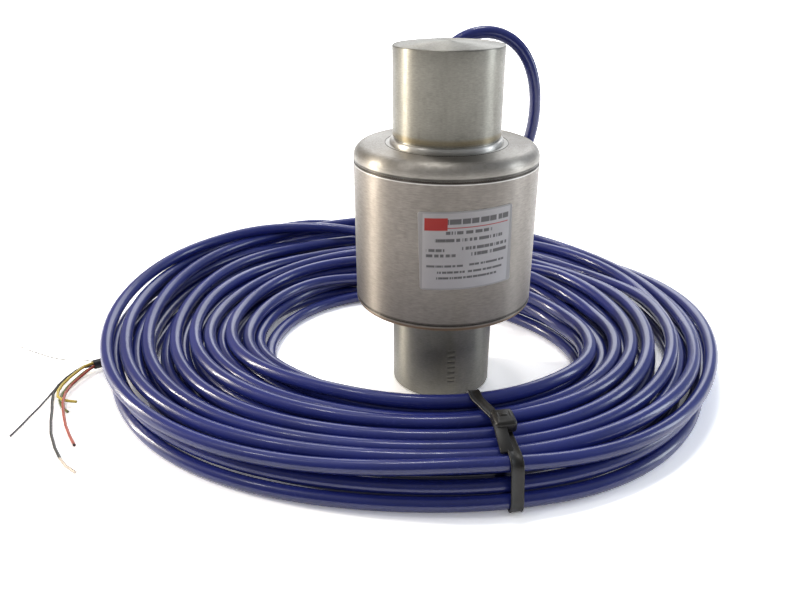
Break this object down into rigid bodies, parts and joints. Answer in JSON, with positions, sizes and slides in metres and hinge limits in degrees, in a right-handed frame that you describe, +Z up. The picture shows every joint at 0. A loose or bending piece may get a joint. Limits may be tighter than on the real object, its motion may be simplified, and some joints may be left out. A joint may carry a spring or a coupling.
{
  "type": "column load cell",
  "caption": "Sealed round column load cell with domed loading ends, a welded housing, a rear cable gland and a tied coil of round cable.",
  "frame": {"origin": "lowest point of the lower domed end, on the column's axis and on the surface that the part stands on", "axes": "+Z up along the column's axis, +Y towards the cable gland at the rear, so the label faces -Y"},
  "size_m": [0.3478, 0.274, 0.1505],
  "materials": {
    "column_steel": "turned, satin",
    "housing_steel": "satin",
    "cover_steel": "satin",
    "label_film": "matt film",
    "gauge_foil": "matt",
    "inner_wire": "smooth",
    "board_laminate": "satin",
    "resistor_body": "satin",
    "post_brass": "plated",
    "seal_rubber": "matt",
    "gland_nickel": "nickel plated",
    "cable_jacket": "glossy",
    "inner_sheath": "satin",
    "tie_nylon": "satin",
    "core_yellow": "smooth",
    "core_green": "smooth",
    "core_red": "smooth",
    "core_black": "smooth",
    "core_grey": "smooth",
    "screen_wire": "tinned"
  },
  "bodies": {
    "root": {"column": "column_steel", "housing_tube": "housing_steel", "top_cover": "cover_steel", "bottom_cover": "cover_steel", "rating_label": "label_film", "strain_gauge_front": "gauge_foil", "strain_gauge_right": "gauge_foil", "strain_gauge_rear": "gauge_foil", "strain_gauge_left": "gauge_foil", "gauge_wires": "inner_wire", "compensation_board": "board_laminate", "trimming_resistors": "resistor_body", "solder_posts": "post_brass", "gland_socket": "housing_steel", "gland_washer": "seal_rubber", "gland_body": "gland_nickel", "gland_grommet": "seal_rubber", "gland_cap": "gland_nickel", "cable_entry": "cable_jacket", "entry_sheath": "inner_sheath", "entry_cores": "inner_wire", "cable_lead": "cable_jacket", "cable_coil": "cable_jacket", "cable_tail": "cable_jacket", "cable_tie": "tie_nylon", "tail_sheath": "inner_sheath", "core_yellow": "core_yellow", "core_green": "core_green", "core_red": "core_red", "core_black": "core_black", "core_white": "core_grey", "screen_wire": "screen_wire"}
  },
  "joints": []
}
